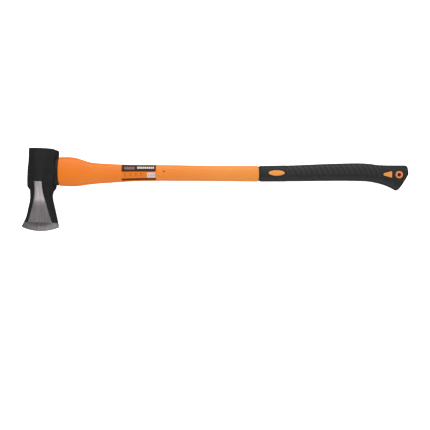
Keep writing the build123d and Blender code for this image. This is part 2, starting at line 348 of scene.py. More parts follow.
class Nodes:
    """Short way to lay out a material's nodes."""

    def __init__(self, name):
        self.material = bpy.data.materials.new(name)
        self.material.use_nodes = True
        self.tree = self.material.node_tree
        self.shader = self.tree.nodes["Principled BSDF"]
        self.place = self.add("ShaderNodeTexCoord").outputs["Object"]

    def add(self, kind, links=(), **values):
        node = self.tree.nodes.new(kind)
        for key, value in values.items():
            setattr(node, key, value)
        for socket, source in links:
            target = node.inputs[socket]
            if isinstance(source, bpy.types.NodeSocket):
                self.tree.links.new(source, target)
            else:
                target.default_value = source
        return node

    def stretched(self, stretch, turn=0.0):
        """The place, scaled by axis, after a turn about Z."""
        turned = self.add("ShaderNodeMapping", (("Vector", self.place), ("Rotation", (0, 0, turn))))
        scaled = self.add("ShaderNodeMapping", (("Vector", turned.outputs[0]), ("Scale", stretch)))
        return scaled.outputs[0]

    def noise(self, scale, detail=3.0, rough=0.55, where=None, twist=0.0):
        node = self.add("ShaderNodeTexNoise", (
            ("Vector", where or self.place), ("Scale", scale), ("Detail", detail),
            ("Roughness", rough), ("Distortion", twist)))
        return node.outputs["Fac"]

    def ramp(self, source, low, high, out_low=0.0, out_high=1.0):
        node = self.add("ShaderNodeMapRange", (
            ("Value", source), ("From Min", low), ("From Max", high), ("To Min", out_low),
            ("To Max", out_high)), interpolation_type="SMOOTHSTEP")
        return node.outputs["Result"]

    def math(self, operation, first, second=0.0):
        return self.add("ShaderNodeMath", ((0, first), (1, second)), operation=operation).outputs[0]

    def mix(self, factor, first, second):
        node = self.add("ShaderNodeMix", (), data_type="RGBA")
        for socket, source in ((0, factor), (6, first), (7, second)):
            if isinstance(source, bpy.types.NodeSocket):
                self.tree.links.new(source, node.inputs[socket])
            elif socket == 0:
                node.inputs[0].default_value = source
            else:
                node.inputs[socket].default_value = (*source, 1.0)
        return node.outputs[2]

    def attribute(self, name):
        return self.add("ShaderNodeAttribute", (), attribute_name=name).outputs["Fac"]

    def bump(self, height, depth_mm, strength=1.0, under=None):
        links = [("Height", height), ("Distance", depth_mm * MM), ("Strength", strength)]
        if under is not None:
            links.append(("Normal", under))
        return self.add("ShaderNodeBump", links).outputs["Normal"]

    def finish(self, color, roughness, normal=None, **values):
        for socket, source in (("Base Color", color), ("Roughness", roughness), ("Normal", normal)):
            if isinstance(source, bpy.types.NodeSocket):
                self.tree.links.new(source, self.shader.inputs[socket])
            elif source is not None:
                self.shader.inputs[socket].default_value = (
                    (*source, 1.0) if isinstance(source, tuple) else source)
        for key, value in values.items():
            self.shader.inputs[key.replace("_", " ")].default_value = value
        return self.material


def orange_plastic(name, tint=None):
    """Satin moulded plastic with a fine spark-eroded grain, flow clouds and light scuffs, and painted light
    that turns it lighter and yellower towards the butt.
    """
    n = Nodes(name)
    clouds = n.ramp(n.noise(14.0, 2.0), 0.35, 0.65)
    speck = n.ramp(n.noise(900.0, 2.0), 0.62, 0.75)
    scuff_place = n.stretched((60.0, 900.0, 900.0), 0.1)
    scuffs = n.ramp(n.noise(1.0, 4.0, 0.6, scuff_place), 0.60, 0.74)
    # painted light: the colour grows lighter and yellower from the head end towards the butt
    axis = n.add("ShaderNodeSeparateXYZ", (("Vector", n.place),)).outputs["X"]
    along = n.ramp(axis, -0.36, 0.16)
    color = n.mix(along, (0.83, 0.20, 0.012), (0.85, 0.31, 0.057))
    cloudy = n.mix(along, (0.86, 0.23, 0.018), (0.88, 0.335, 0.068))
    color = n.mix(n.math("MULTIPLY", clouds, 0.5), color, cloudy)
    color = n.mix(n.math("MULTIPLY", speck, 0.10), color, (0.70, 0.14, 0.02))
    color = n.mix(n.math("MULTIPLY", scuffs, 0.12), color, (0.95, 0.42, 0.14))
    if tint:
        color = n.mix(0.75, color, tint)
    grain = n.noise(1500.0, 2.0)
    rough = n.ramp(grain, 0.3, 0.7, 0.44, 0.54)
    rough = n.math("ADD", rough, n.math("MULTIPLY", scuffs, 0.10))
    normal = n.bump(grain, 0.05, 0.5)
    normal = n.bump(n.noise(55.0, 2.0), 0.12, 0.25, normal)
    return n.finish(
        color, rough, normal, Specular_IOR_Level=0.28, Subsurface_Weight=0.3, Subsurface_Scale=0.005,
        Subsurface_Radius=(1.0, 0.3, 0.1))


def grip_rubber():
    """Matt black over-moulded rubber, a little dusty in patches and polished on its tops."""
    n = Nodes("grip_rubber")
    dust = n.ramp(n.noise(120.0, 5.0, 0.65), 0.45, 0.75)
    raised = n.attribute("raised")
    color = n.mix(dust, (0.018, 0.018, 0.019), (0.026, 0.025, 0.025))
    color = n.mix(n.math("MULTIPLY", raised, 0.5), color, (0.036, 0.035, 0.036))
    grain = n.noise(1700.0, 3.0, 0.6)
    rough = n.ramp(grain, 0.3, 0.7, 0.52, 0.64)
    rough = n.math("SUBTRACT", rough, n.math("MULTIPLY", raised, 0.07))
    normal = n.bump(grain, 0.09, 0.7)
    normal = n.bump(n.noise(260.0, 3.0), 0.12, 0.35, normal)
    return n.finish(color, rough, normal, Specular_IOR_Level=0.24)


def black_paint():
    """Black enamel over a forged skin, with orange peel, grime and worn edges."""
    n = Nodes("black_paint")
    grime = n.ramp(n.noise(45.0, 6.0, 0.6), 0.40, 0.70)
    color = n.mix(grime, (0.0105, 0.0105, 0.0114), (0.015, 0.0146, 0.0148))
    chips = n.noise(420.0, 5.0, 0.65)
    wear = n.ramp(n.math("MULTIPLY", n.attribute("wear"), chips), 0.44, 0.52)
    color = n.mix(wear, color, (0.085, 0.082, 0.08))
    rough = n.ramp(n.noise(160.0, 3.0), 0.3, 0.7, 0.54, 0.68)
    normal = n.bump(n.noise(420.0, 2.0), 0.08, 0.5)
    normal = n.bump(n.noise(95.0, 5.0, 0.6), 0.30, 0.45, normal)
    normal = n.bump(n.math("SUBTRACT", 1.0, wear), 0.06, 0.6, normal)
    return n.finish(color, rough, normal, Specular_IOR_Level=0.19)


def ground_steel(name, tone, turn, rough_low, rough_high):
    """Belt-ground steel: long fine scratches across a faintly uneven sheen."""
    n = Nodes(name)
    fine = n.noise(1.0, 4.0, 0.6, n.stretched((2600.0, 60.0, 60.0), turn))
    broad = n.noise(1.0, 3.0, 0.6, n.stretched((420.0, 14.0, 14.0), turn))
    spots = n.ramp(n.noise(190.0, 6.0, 0.7), 0.62, 0.78)
    dark = tuple(0.72 * c for c in tone)
    color = n.mix(n.ramp(broad, 0.35, 0.65), dark, tone)
    color = n.mix(n.math("MULTIPLY", spots, 0.35), color, (0.16, 0.13, 0.11))
    rough = n.ramp(fine, 0.3, 0.7, rough_low, rough_high)
    normal = n.bump(fine, 0.05, 0.55)
    normal = n.bump(broad, 0.12, 0.35, normal)
    return n.finish(color, rough, normal, Metallic=1.0)


def raw_steel():
    """Dark scaled steel inside the eye."""
    n = Nodes("raw_steel")
    scale = n.noise(300.0, 5.0, 0.65)
    color = n.mix(n.ramp(scale, 0.4, 0.65), (0.045, 0.042, 0.040), (0.11, 0.085, 0.07))
    return n.finish(color, n.ramp(scale, 0.3, 0.7, 0.5, 0.75), n.bump(scale, 0.15, 0.7), Metallic=0.6)


def cast_resin():
    """Dark cast epoxy, glossy, with small bubbles."""
    n = Nodes("cast_resin")
    cells = n.add("ShaderNodeTexVoronoi", (("Vector", n.place), ("Scale", 420.0)))
    bubbles = n.ramp(cells.outputs["Distance"], 0.10, 0.26)
    streaks = n.ramp(n.noise(90.0, 4.0, 0.6, twist=1.5), 0.35, 0.65)
    color = n.mix(streaks, (0.060, 0.042, 0.026), (0.105, 0.080, 0.050))
    normal = n.bump(bubbles, 0.20, 0.6)
    return n.finish(color, n.ramp(streaks, 0.0, 1.0, 0.12, 0.26), normal)


def seal_rubber():
    """Dark brown-black rubber that bulges between head and handle. On the grip's collar the same dark rubber
    is painted shade in the seam.
    """
    n = Nodes("seal_rubber")
    grain = n.noise(900.0, 3.0)
    color = n.mix(n.ramp(n.noise(70.0, 4.0), 0.4, 0.65), (0.008, 0.006, 0.005), (0.014, 0.010, 0.008))
    rough = n.ramp(grain, 0.3, 0.7, 0.55, 0.7)
    return n.finish(color, rough, n.bump(grain, 0.10, 0.6), Specular_IOR_Level=0.25)


def glass_fibre():
    """Sawn end of a pultruded rod: bundles of pale fibre in yellowish resin."""
    n = Nodes("glass_fibre")
    end_on = n.stretched((200.0, 1500.0, 1500.0))
    cells = n.add("ShaderNodeTexVoronoi", (("Vector", end_on), ("Scale", 1.0)))
    fibre = n.ramp(cells.outputs["Distance"], 0.15, 0.55)
    rings = n.ramp(n.noise(180.0, 3.0), 0.4, 0.6)
    color = n.mix(fibre, (0.80, 0.74, 0.52), (0.56, 0.46, 0.26))
    color = n.mix(n.math("MULTIPLY", rings, 0.35), color, (0.42, 0.36, 0.20))
    return n.finish(color, 0.5, n.bump(fibre, 0.15, 0.5))


def print_film(name, color, other, sheen=0.2):
    """One ink of the printed label under a thin clear film."""
    n = Nodes(name)
    mottle = n.ramp(n.noise(650.0, 3.0), 0.35, 0.65)
    rough = n.ramp(n.noise(90.0, 2.0), 0.35, 0.65, 0.46, 0.56)
    normal = n.bump(n.noise(160.0, 2.0), 0.05, 0.4)
    return n.finish(n.mix(mottle, color, other), rough, normal, Specular_IOR_Level=sheen)


ORANGE = orange_plastic("orange_plastic")
# a paler orange for the windows' rounded rims: a painted highlight
RIM_PAINTED_HIGHLIGHT = orange_plastic("orange_rim_painted_highlight", (0.88, 0.40, 0.15))
# a darker copy of the jacket's orange for the hang bush: painted shade
RING_PLASTIC_PAINTED_SHADE = orange_plastic("orange_ring_painted_shade", (0.59, 0.27, 0.134))
# a dark red copy of the orange for the insides of holes: painted shade
BORE_PAINTED_SHADE = orange_plastic("orange_bore_painted_shade", (0.72, 0.012, 0.0))
RUBBER = grip_rubber()
PAINT = black_paint()
FACET = ground_steel("ground_facet", (0.46, 0.425, 0.432), HANG, 0.29, 0.38)
# the bevel and the edge are darker copies of the same ground steel: painted shade
BEVEL_PAINTED_SHADE = ground_steel("ground_bevel_painted_shade", (0.21, 0.197, 0.20), HANG + 0.12, 0.36, 0.46)
EDGE_PAINTED_SHADE = ground_steel("honed_edge_painted_shade", (0.060, 0.057, 0.058), HANG, 0.32, 0.42)
RAW = raw_steel()
RESIN = cast_resin()
# the seal rubber also darkens the grip's collar: painted shade in the seam
SEAL_RUBBER_AND_SEAM_SHADE = seal_rubber()
FIBRE = glass_fibre()
INKS = {
    "black": print_film("label_black", (0.062, 0.016, 0.004), (0.076, 0.020, 0.005), 0.10),
    "white": print_film("label_white", (0.78, 0.74, 0.72), (0.68, 0.64, 0.62)),
    "orange": print_film("label_orange", (0.80, 0.21, 0.018), (0.76, 0.18, 0.014)),
    "brown": print_film("label_brown", (0.11, 0.022, 0.004), (0.14, 0.030, 0.006), 0.10),
    "rust": print_film("label_rust", (0.48, 0.12, 0.012), (0.42, 0.10, 0.010)),
    "grey": print_film("label_grey", (0.34, 0.26, 0.25), (0.27, 0.20, 0.19)),
}

# ---------------------------------------------------------------- head

POLL_ROUND = 1.6
RIDGE_COLUMNS = 9
FLANK_COLUMNS = 20
CORNER_COLUMNS = 5
WALL_COLUMNS = 8
EDGE_ROWS = 11
EYE_COLUMNS = 96
BIT_REACH = 21.0


def head_place(u, v, z):
    """Frame positions from the head's own u, v and height from the middle plane."""
    return np.stack((
        HEAD_X + u * math.cos(HANG) + v * math.sin(HANG),
        HANDLE_Y - u * math.sin(HANG) + v * math.cos(HANG),
        MID_Z + z,
    ), -1)


def head_tables(v):
    """Ridge half width, ridge half thickness and side half thickness at v."""
    v = np.atleast_1d(v)
    return np.where(v[:, None] > FACET_TOP_V, monotone(POLL_TABLE, v), monotone(WEDGE_TABLE, v))


def head_top(u, v, width, inset=0.0):
    """Height of the upper surface above the middle plane."""
    ridge, high, side = head_tables(v).T
    hollow = 0.12 + 0.42 * ease(25.0, -15.0, v) * ease(-112.0, -70.0, v)
    soften = np.where(v > FACET_TOP_V, 2.6 + 3.4 * ease(-18.0, 25.0, v), 0.7)
    reach = np.abs(u) - ridge
    start = (np.hypot(ridge, soften) - ridge) / 2
    drop = np.maximum((reach + np.hypot(reach, soften)) / 2 - start, 0.0)
    whole = (width - ridge + np.hypot(width - ridge, soften)) / 2 - start
    t = np.clip(drop / whole, 0.0, 1.0)
    z = high - (high - side) * (t + hollow * t * (1 - t))
    # the bevel is a cone about the edge's centre, on the bit's side of it only
    depth = EDGE_RADIUS - np.hypot(u - EDGE_CENTRE[0], np.minimum(v - EDGE_CENTRE[1], 0.0))
    bevel = EDGE_HALF + BEVEL_SLOPE * np.maximum(depth, 0.0)
    z = (z + bevel - np.hypot(z - bevel, BEVEL_BLEND)) / 2
    return np.maximum(z, EDGE_HALF * 0.6) - inset


def head_row(far, near, sag=0.0, inset=0.0):
    """One ring round the head between two (u, v) ends, its middle sagging towards the bit's arc."""
    (far_u, far_v), (near_u, near_v) = far, near
    ridge = head_tables((far_v + near_v) / 2)[0, 0]
    corner = 2.2 if far_v > -38.0 else 1.2
    thin = 0.35 * float(head_tables(far_v)[0, 2])
    corner = max(min(corner, thin, 0.5 + 0.08 * (min(far_v, near_v) - EDGE_V)), 0.12)
    tops = []
    for sign, end in ((-1, far_u), (1, near_u)):
        width = abs(end)
        flank = ridge + (width - corner * 0.8 - ridge) * np.linspace(0, 1, FLANK_COLUMNS + 1) ** 1.15
        tops.append(sign * flank[1:])
    middle = np.linspace(-ridge, ridge, RIDGE_COLUMNS)
    u = np.concatenate((tops[0][::-1], middle, tops[1]))
    widths = np.where(u < 0, abs(far_u), abs(near_u))
    if inset:
        widths = widths + inset
    share = (u - far_u) / (near_u - far_u)
    v = far_v + (near_v - far_v) * share
    arc = EDGE_CENTRE[1] - np.sqrt(EDGE_RADIUS ** 2 - (u - EDGE_CENTRE[0]) ** 2)
    v = v + sag * (arc - v)
    z = head_top(u, v, widths, inset)
    ring_u, ring_v, ring_z = [u], [v], [z]
    walls = []
    for sign, end, end_v, index in ((1, near_u, near_v, -1), (-1, far_u, far_v, 0)):
        start_u, start_z = abs(u[index]), z[index]
        run = abs(end) - start_u
        fall = min(corner, 0.8 * start_z)
        angles = np.linspace(0, math.pi / 2, CORNER_COLUMNS + 1)[1:]
        arc_u = start_u + run * np.sin(angles)
        arc_z = start_z - fall * (1 - np.cos(angles))
        wall_z = np.linspace(arc_z[-1], -arc_z[-1], WALL_COLUMNS + 2)[1:-1]
        flash = 0.25 * np.exp(-(wall_z / 0.9) ** 2) - 0.25
        side_u = np.concatenate((arc_u, abs(end) + flash, arc_u[::-1]))
        side_z = np.concatenate((arc_z, wall_z, -arc_z[::-1]))
        side_v = v[index] + (end_v - v[index]) * np.clip((side_u - start_u) / max(run, 1e-6), 0, 1)
        walls.append((sign * side_u, side_v, side_z))
    ring_u += [walls[0][0], u[::-1], walls[1][0][::-1]]
    ring_v += [walls[0][1], v[::-1], walls[1][1][::-1]]
    ring_z += [walls[0][2], -z[::-1], -walls[1][2]]
    return np.concatenate(ring_u), np.concatenate(ring_v), np.concatenate(ring_z)


def rounded_end(side, tip, arc_start, count):
    """Points down a side of the bit and round its corner."""
    side_v = np.linspace(PAINT_END_V, tip[1] + 5.0, 7)
    line = [(s, v) for v, s in zip(side_v, side(side_v))]
    start, mid, stop = np.array(line[-1]), np.array(tip), np.array(arc_start)
    turn = [start * (1 - t) ** 2 + mid * 2 * t * (1 - t) + stop * t * t for t in np.linspace(0, 1, count)]
    return line[1:-1] + [tuple(p) for p in turn]


def near_side(v):
    return monotone(NEAR_SIDE, v)[:, 0]


def far_side(v):
    return -monotone(FAR_SIDE, v)[:, 0]


def edge_point(u):
    return (u, EDGE_CENTRE[1] - math.sqrt(EDGE_RADIUS ** 2 - (u - EDGE_CENTRE[0]) ** 2))


def build_head():
    straight = [POLL_V - POLL_ROUND - 0.8 * k for k in range(3)]
    straight += list(np.arange(52.0, FACET_TOP_V + 1.0, -1.5)) + [FACET_TOP_V + 0.35, FACET_TOP_V]
    straight += [FACET_TOP_V - 0.35] + list(np.arange(FACET_TOP_V - 1.2, PAINT_END_V + 0.8, -1.3))
    straight += [PAINT_END_V + 0.3, PAINT_END_V]
    straight = sorted(set(round(v, 3) for v in straight), reverse=True)
    rows, v_of_row = [], []
    for back, inset in quarter(POLL_ROUND, 5):
        v = POLL_V - back
        rows.append(head_row((far_side(v)[0] + inset, v), (near_side(v)[0] - inset, v), 0.0, inset))
        v_of_row.append(v)
    for v in straight:
        rows.append(head_row((far_side(v)[0], v), (near_side(v)[0], v)))
        v_of_row.append(v)
    far_end = rounded_end(far_side, TOE, edge_point(-42.6), EDGE_ROWS)
    near_end = rounded_end(near_side, HEEL, edge_point(40.6), EDGE_ROWS)
    for k, (far, near) in enumerate(zip(far_end, near_end)):
        share = (k + 1) / len(far_end)
        rows.append(head_row(far, near, share))
        v_of_row.append(PAINT_END_V - BIT_REACH * share)
    u, v, z = (np.array([row[i] for row in rows]) for i in range(3))
    count = u.shape[1]

    # the forged skin is a little uneven, always inwards, and flat where it is ground
    ground = ease(FACET_TOP_V - 3.0, FACET_TOP_V + 3.0, v)
    uneven = np.zeros_like(u)
    for i in range(u.shape[0]):
        for j in range(count):
            at = Vector((u[i, j] * 0.055, v[i, j] * 0.055, z[i, j] * 0.055))
            uneven[i, j] = noise.noise(at) * 0.5 + noise.noise(at * 3.1) * 0.22 - 0.45
    off_ridge = np.abs(u) - head_tables(v.ravel())[:, 0].reshape(u.shape)
    painted = np.clip(ease(0.0, 4.0, off_ridge) + ground, 0, 1)
    painted *= ease(PAINT_END_V - 1.0, PAINT_END_V + 6.0, v) * ease(POLL_V - 0.4, POLL_V - 5.0, v)
    size = np.hypot(u, z)
    u = u * (1 + 0.55 * uneven * painted / np.maximum(size, 1.0))
    keep_top = ease(FACET_TOP_V + 4.0, FACET_TOP_V + 14.0, v) + ease(FACET_TOP_V, FACET_TOP_V - 6.0, v)
    z = z * (1 + 0.55 * uneven * painted * np.clip(keep_top, 0, 1) / np.maximum(size, 1.0))

    points = head_place(u, v, z).reshape(-1, 3)
    faces = grid_faces(len(rows), count)
    top_count = 2 * FLANK_COLUMNS + RIDGE_COLUMNS
    side_count = WALL_COLUMNS + 2 * CORNER_COLUMNS
    slots = []
    for i in range(len(rows) - 1):
        middle = (v_of_row[i] + v_of_row[i + 1]) / 2
        for j in range(count):
            k = j if j < top_count else (top_count + side_count + top_count - 1 - j)
            on_face = k < top_count and (j < top_count or j >= top_count + side_count)
            ridge_place = (k if j < top_count else k - 1) - FLANK_COLUMNS
            on_ridge = on_face and 0 <= ridge_place < RIDGE_COLUMNS - 1
            # below the paint the bevel and the cutting edge take the darker steel copies: painted shade
            if middle < PAINT_END_V:
                slots.append(3 if i >= len(rows) - 3 else 2)
            elif middle < FACET_TOP_V and on_ridge:
                slots.append(1)
            else:
                slots.append(0)

    # poll face: shrinking copies of the first ring
    first = points[:count]
    centre = first.mean(axis=0)
    extra = [centre + (first - centre) * s for s in (0.93, 0.75, 0.5, 0.25)]
    base = len(points)
    points = np.vstack([points] + extra + [centre[None, :]])
    ring_starts = [0] + [base + k * count for k in range(4)]
    for a, b in zip(ring_starts, ring_starts[1:]):
        for j in range(count):
            faces.append((a + j, b + j, b + (j + 1) % count, a + (j + 1) % count))
            slots.append(0)
    for j in range(count):
        faces.append((ring_starts[-1] + j, len(points) - 1, ring_starts[-1] + (j + 1) % count))
        slots.append(0)

    # the cutting edge: the last ring closed on itself
    last = (len(rows) - 1) * count
    order = list(range(top_count))
    under = [top_count + side_count + top_count - 1 - k for k in order]
    for k in range(top_count - 1):
        faces.append((last + order[k], last + under[k], last + under[k + 1], last + order[k + 1]))
        slots.append(3)
    for start in (top_count - 1, 2 * top_count + side_count - 1):
        loop = [(start + k) % count for k in range(side_count + 2)]
        faces.append(tuple(last + k for k in loop))
        slots.append(3)

    mesh = make_mesh("head_forging", [(points, faces)], 30.0, True, slots)
    position = vertex_places(mesh) / MM
    dx, dy = position[:, 0] - HEAD_X, position[:, 1] - HANDLE_Y
    pu = dx * math.cos(HANG) - dy * math.sin(HANG)
    pv = dx * math.sin(HANG) + dy * math.cos(HANG)
    pz = np.abs(position[:, 2] - MID_Z)
    ridge, high, side = head_tables(pv).T
    width = np.where(pu < 0, -far_side(pv), near_side(pv))
    on_ridge = np.exp(-((np.abs(pu) - ridge) / 1.5) ** 2) * (pz > high - 3)
    on_side = np.exp(-((np.abs(pu) - width + 0.6) / 1.2) ** 2) * np.exp(-((pz - side) / 2.0) ** 2)
    on_poll = np.exp(-((pv - POLL_V + 0.7) / 1.2) ** 2)
    keep_values(mesh, "wear", np.clip(on_ridge * 0.7 + on_side * 0.8 + on_poll * 0.9, 0, 1))
    piece = add_piece("head_forging", mesh, "head", [PAINT, FACET, BEVEL_PAINTED_SHADE, EDGE_PAINTED_SHADE, RAW])

    # the eye, flared where it opens away from the handle
    along, across = unit_oval(np.linspace(0, 1, EYE_COLUMNS, endpoint=False), *EYE_SIZE)
    rings = []
    for eye_u, grow in ((-36.0, 4.4), (-31.5, 2.6), (-29.6, 1.3), (-27.5, 0.5), (34.0, -0.5)):
        rings.append(head_place(
            np.full(EYE_COLUMNS, eye_u), along * (EYE_SIZE[0] + grow) / 2, across * (EYE_SIZE[1] + grow) / 2))
    caps = [tuple(range(EYE_COLUMNS)), tuple(range(EYE_COLUMNS * 4, EYE_COLUMNS * 5))[::-1]]
    plug_faces = grid_faces(5, EYE_COLUMNS) + caps
    plug = make_mesh("eye_plug", [(np.array(rings), plug_faces)], slots=[4] * len(plug_faces))
    for _ in range(5):
        plug.materials.append(RAW)
    cut(piece, [plug])


build_head()

# ---------------------------------------------------------------- shaft, tongue and windows

SHAFT_FRACTIONS = oval_fractions(44, (0.0012, 0.0035))
STEP_ROUND = 1.8
END_BOW = 2.0


def shaft_rings(xs, insets, fractions, lift=0.0):
    """Rings of the shaft at each X, made smaller by each inset."""
    top, bottom, thickness = cubic(SHAFT, xs).T
    along, across = unit_oval(fractions)
    half = (top - bottom) / 2 - insets + lift
    thick = thickness / 2 - insets + lift
    x = np.repeat(xs[:, None], len(fractions), 1)
    y = HANDLE_Y + ((top + bottom) / 2)[:, None] + half[:, None] * along
    z = MID_Z + thick[:, None] * across
    return np.stack((x, y, z), -1)


def parting_line(rings, fractions, height):
    """Lifts the moulding's parting line at the top and bottom of each ring."""
    gap = np.minimum(np.minimum(fractions, 1 - fractions), np.abs(fractions - 0.5))
    lift = height * np.exp(-(gap / 0.0022) ** 2)
    up = np.where(np.abs(fractions - 0.5) < 0.25, -1.0, 1.0)
    rings[:, :, 1] += (lift * up)[None, :]
    return rings


def flat_ring(x, height, thickness, fractions, rise=0.0):
    along, across = unit_oval(fractions, height, thickness)
    return np.stack((
        np.full(len(fractions), x), HANDLE_Y + rise + along * height / 2,
        MID_Z + across * thickness / 2), -1)


def build_shaft():
    rims = quarter(3.5, 7)
    ends = quarter(STEP_ROUND, 7)
    xs = [SHOULDER_X, SHOULDER_X] + [SHOULDER_X + d for d, _ in rims]
    insets = [12.0, 6.0] + [i for _, i in rims]
    body = np.concatenate((np.arange(-357.5, -225.0, 1.9), np.arange(-225.0, 98.5, 3.6)))
    xs += list(body) + [SHAFT_END_X + 1.4 - d for d, _ in ends[::-1]] + [SHAFT_END_X + 1.4, SHAFT_END_X + 1.4]
    insets += [0.0] * len(body) + [i for _, i in ends[::-1]] + [4.5, 9.0]
    xs, insets = np.array(xs), np.array(insets)
    rings = shaft_rings(xs, insets, SHAFT_FRACTIONS)
    # the moulded end bows outwards a little at mid height
    across_end = np.abs(unit_oval(SHAFT_FRACTIONS)[0])
    rings[:, :, 0] -= END_BOW * ease(88.0, SHAFT_END_X, xs)[:, None] * (across_end ** 2.5)[None, :]
    middle = (insets < 0.4)[:, None]
    lined = parting_line(rings.copy(), SHAFT_FRACTIONS, 0.16)
    rings[:, :, 1] = np.where(middle, lined[:, :, 1], rings[:, :, 1])
    count = len(SHAFT_FRACTIONS)
    faces = grid_faces(len(xs), count)
    faces += [tuple(range(count)), tuple(range((len(xs) - 1) * count, len(xs) * count))[::-1]]
    piece = add_piece(
        "handle_shaft", make_mesh("handle_shaft", [(rings, faces)]), "handle_jacket",
        [ORANGE, BORE_PAINTED_SHADE])
    # the pin holes' walls take the dark red bore orange: painted shade
    pins = []
    for low, high in ((18.0, 24.0), (40.0, 46.0)):
        pins.append(prism("pin", circle(PIN_AT[0], PIN_AT[1], 2.1, 28), low, high, 1))
    cut(piece, pins)

    fractions = oval_fractions(40)
    count = len(fractions)
    edge = 0.8
    rings = [
        flat_ring(TONGUE_X + 3.0, *CORE_SIZE, fractions),
        flat_ring(TONGUE_X, *CORE_SIZE, fractions),
        flat_ring(TONGUE_X, TONGUE_SIZE[0] - 2 * edge, TONGUE_SIZE[1] - 2 * edge, fractions),
        flat_ring(TONGUE_X + edge, *TONGUE_SIZE, fractions),
        flat_ring(SHOULDER_X + 0.5, *TONGUE_SIZE, fractions),
    ]
    mesh = make_mesh("handle_tongue", [(np.array(rings), grid_faces(5, count))])
    add_piece("handle_tongue", mesh, "handle_jacket", [ORANGE])


build_shaft()

# ---------------------------------------------------------------- grip

GRIP_FRACTIONS = oval_fractions(72)
TEXTURE_X = (168.0, 386.0)
LIP_ROUND = 1.0
COLLAR_SINK = 0.5
RIB_PITCH = 12.4
RIB_LEAN = 0.52
RIB_HEIGHT = 0.7
KNURL_PITCH = 4.4


def grip_run():
    """Stations of the grip by the distance between their middles."""
    middle = (GRIP[:, 0:2] + GRIP[:, 2:4]) / 2
    steps = np.linalg.norm(np.diff(middle, axis=0), axis=1)
    return np.concatenate(([GRIP[0, 0]], GRIP[0, 0] + np.cumsum(steps)))


GRIP_TABLE = np.column_stack((grip_run(), GRIP))


def butt_limit(y):
    """X of the butt's end at a rise: upright, then sloping in to the heel, with a soft bend."""
    slope = BUTT_SLOPE * (BUTT_CORNER_RISE - y)
    soft = 0.9
    return BUTT_X - (slope + np.hypot(slope, soft)) / 2


def grip_point(t, share):
    """(x, rise) at run t and share of the way up from the bottom, and thickness."""
    tx, ty, bx, by, thickness = cubic(GRIP_TABLE, t).T
    return bx + (tx - bx) * share, by + (ty - by) * share, thickness


def end_runs(share):
    """Run at which each share of the height meets the butt's end."""
    low = np.full(share.shape, 380.0)
    high = np.full(share.shape, GRIP_TABLE[-1, 0])
    for _ in range(30):
        middle = (low + high) / 2
        x, y, _ = grip_point(middle, share)
        inside = x < butt_limit(y)
        low, high = np.where(inside, middle, low), np.where(inside, high, middle)
    return (low + high) / 2


def grip_pattern(x, girth, share):
    """Moulded relief on both sides: leaning pads above, a groove, and a fine knurl below."""
    first, last = TEXTURE_X
    zone = ease(first - 1.0, first + 1.2, x) * ease(last + 1.0, last - 1.5, x)
    q = (x - RIB_LEAN * girth) / RIB_PITCH
    across_rib = np.abs(q - np.floor(q) - 0.5) * 2
    pad = ease(0.80, 0.40, across_rib)
    pads = pad * ease(0.345, 0.385, share) * ease(0.965, 0.90, share)
    tooth = 1.0
    for lean in (1, -1):
        q = (x + lean * girth) / KNURL_PITCH
        tooth = tooth * ease(0.25, 0.75, np.abs(q - np.floor(q) - 0.5) * 2)
    knurl = tooth * ease(0.285, 0.255, share) * ease(0.01, 0.05, share)
    groove = ease(0.018, 0.006, np.abs(share - 0.33))
    raised = np.clip(pads + knurl, 0, 1) * zone
    height = zone * (RIB_HEIGHT * pads + 0.55 * knurl - 0.6 * groove - 0.35)
    border = np.exp(-((x - first) / 0.9) ** 2) + np.exp(-((x - last) / 0.9) ** 2)
    return height - 0.35 * border, raised


